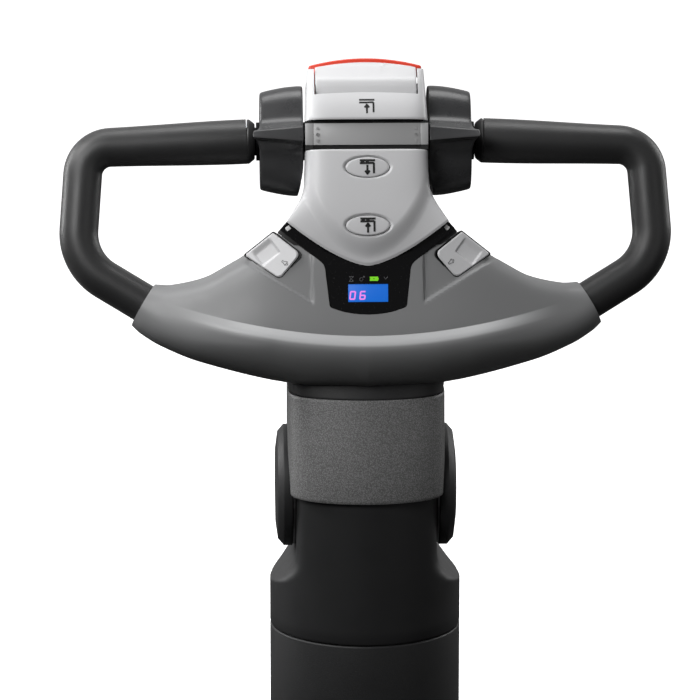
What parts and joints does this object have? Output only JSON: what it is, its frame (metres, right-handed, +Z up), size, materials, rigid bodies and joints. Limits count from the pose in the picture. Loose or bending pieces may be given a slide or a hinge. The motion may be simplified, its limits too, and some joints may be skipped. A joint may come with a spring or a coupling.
{
  "type": "truck tiller control head",
  "caption": "Tiller control head with looped hand grips, wing throttle, lift keys and display, on a tilting neck and a turning steering column.",
  "frame": {"origin": "centre of the underside of the base flange, on the steering axis", "axes": "+Z up the steering axis, -Y towards the operator, +X to the operator's right"},
  "size_m": [0.4354, 0.176, 0.5649],
  "materials": {
    "shell_light": "satin moulded light grey shell",
    "shell_mid": "satin moulded mid grey shell",
    "shell_dark": "satin charcoal moulding",
    "shell_grained": "fine grained charcoal moulding",
    "band_grey": "satin grey moulding",
    "soft_black": "satin black soft-touch over-moulding",
    "gloss_black": "polished black",
    "signal_red": "satin signal red",
    "display_blue": "backlit blue window",
    "board_green": "solder-masked board",
    "cast_aluminium": "as-cast aluminium",
    "bright_steel": "zinc-plated steel",
    "black_steel": "black-coated steel",
    "bronze": "sintered bronze bush"
  },
  "bodies": {
    "root": {"base_flange": "bright_steel", "flange_bolt_1": "bright_steel", "flange_bolt_2": "bright_steel", "flange_bolt_3": "bright_steel", "flange_bolt_4": "bright_steel", "column_tube": "bright_steel", "column_lower_cover": "shell_dark", "cover_guide_ring": "soft_black", "lower_steering_bearing": "bright_steel", "upper_steering_bearing": "bright_steel"},
    "column": {"column_upper_cover": "shell_dark", "steering_head": "cast_aluminium", "tilt_pin": "bright_steel", "tilt_bush_left": "bronze", "tilt_bush_right": "bronze"},
    "head": {"neck_housing": "shell_grained", "neck_collar": "shell_dark", "neck_side_plate_left": "bright_steel", "neck_side_plate_right": "bright_steel", "pivot_cover_left": "shell_dark", "pivot_cover_right": "shell_dark", "neck_block": "cast_aluminium", "head_frame": "cast_aluminium", "throttle_bush_left": "bronze", "throttle_bush_right": "bronze", "grip_left": "soft_black", "grip_right": "soft_black", "handle_core_left": "bright_steel", "handle_core_right": "bright_steel", "grip_end_ring_left": "soft_black", "grip_end_ring_right": "soft_black", "cross_bar": "black_steel", "fascia": "shell_mid", "fascia_back_left": "shell_dark", "fascia_back_right": "shell_dark", "display_bezel": "gloss_black", "display_window": "display_blue", "display_module": "soft_black", "saddle_cover": "shell_light", "crown_cover": "shell_light", "pod_back_cover": "shell_dark", "spine_cover": "shell_dark", "band_end_left": "band_grey", "band_end_right": "band_grey", "lower_switch": "soft_black", "raise_switch": "soft_black", "horn_switch_left": "soft_black", "horn_switch_right": "soft_black", "control_board": "board_green"},
    "throttle": {"throttle_sleeve": "black_steel", "throttle_magnet": "soft_black", "throttle_wing_left": "shell_dark", "throttle_wing_right": "shell_dark"},
    "rocker": {"lift_rocker": "band_grey"},
    "belly": {"belly_button": "signal_red", "belly_pad": "shell_light"},
    "lower_key": {"lower_button": "shell_light"},
    "raise_key": {"raise_button": "shell_light"},
    "horn_key_left": {"horn_button_left": "shell_light"},
    "horn_key_right": {"horn_button_right": "shell_light"}
  },
  "joints": [
    {"name": "steering", "type": "hinge", "parent": "root", "child": "column", "pos_m": [0, 0, 0.153], "axis": [0, 0, 1], "range_deg": [-90, 90]},
    {"name": "neck_tilt", "type": "hinge", "parent": "column", "child": "head", "pos_m": [0, 0, 0.255], "axis": [1, 0, 0], "range_deg": [-11, 12]},
    {"name": "throttle_turn", "type": "hinge", "parent": "head", "child": "throttle", "pos_m": [0, 0.006, 0.506], "axis": [1, 0, 0], "range_deg": [-35, 35], "stiffness_Nm_per_rad": 1.4},
    {"name": "lift_rock", "type": "hinge", "parent": "head", "child": "rocker", "pos_m": [0, 0.006, 0.506], "axis": [1, 0, 0], "range_deg": [-7, 7], "stiffness_Nm_per_rad": 3},
    {"name": "belly_push", "type": "slide", "parent": "head", "child": "belly", "axis": [0, -0.309, -0.9511], "range_m": [0, 0.005], "stiffness_N_per_m": 1500, "springref_m": -0.002},
    {"name": "lower_push", "type": "slide", "parent": "head", "child": "lower_key", "axis": [0, 0.9511, -0.309], "range_m": [0, 0.0015], "stiffness_N_per_m": 800, "springref_m": -0.001},
    {"name": "raise_push", "type": "slide", "parent": "head", "child": "raise_key", "axis": [0, 0.9511, -0.309], "range_m": [0, 0.0015], "stiffness_N_per_m": 800, "springref_m": -0.001},
    {"name": "horn_push_left", "type": "slide", "parent": "head", "child": "horn_key_left", "axis": [0.225, 0.9267, -0.3011], "range_m": [0, 0.0025], "stiffness_N_per_m": 800, "springref_m": -0.001},
    {"name": "horn_push_right", "type": "slide", "parent": "head", "child": "horn_key_right", "axis": [-0.225, 0.9267, -0.3011], "range_m": [0, 0.0025], "stiffness_N_per_m": 800, "springref_m": -0.001}
  ]
}
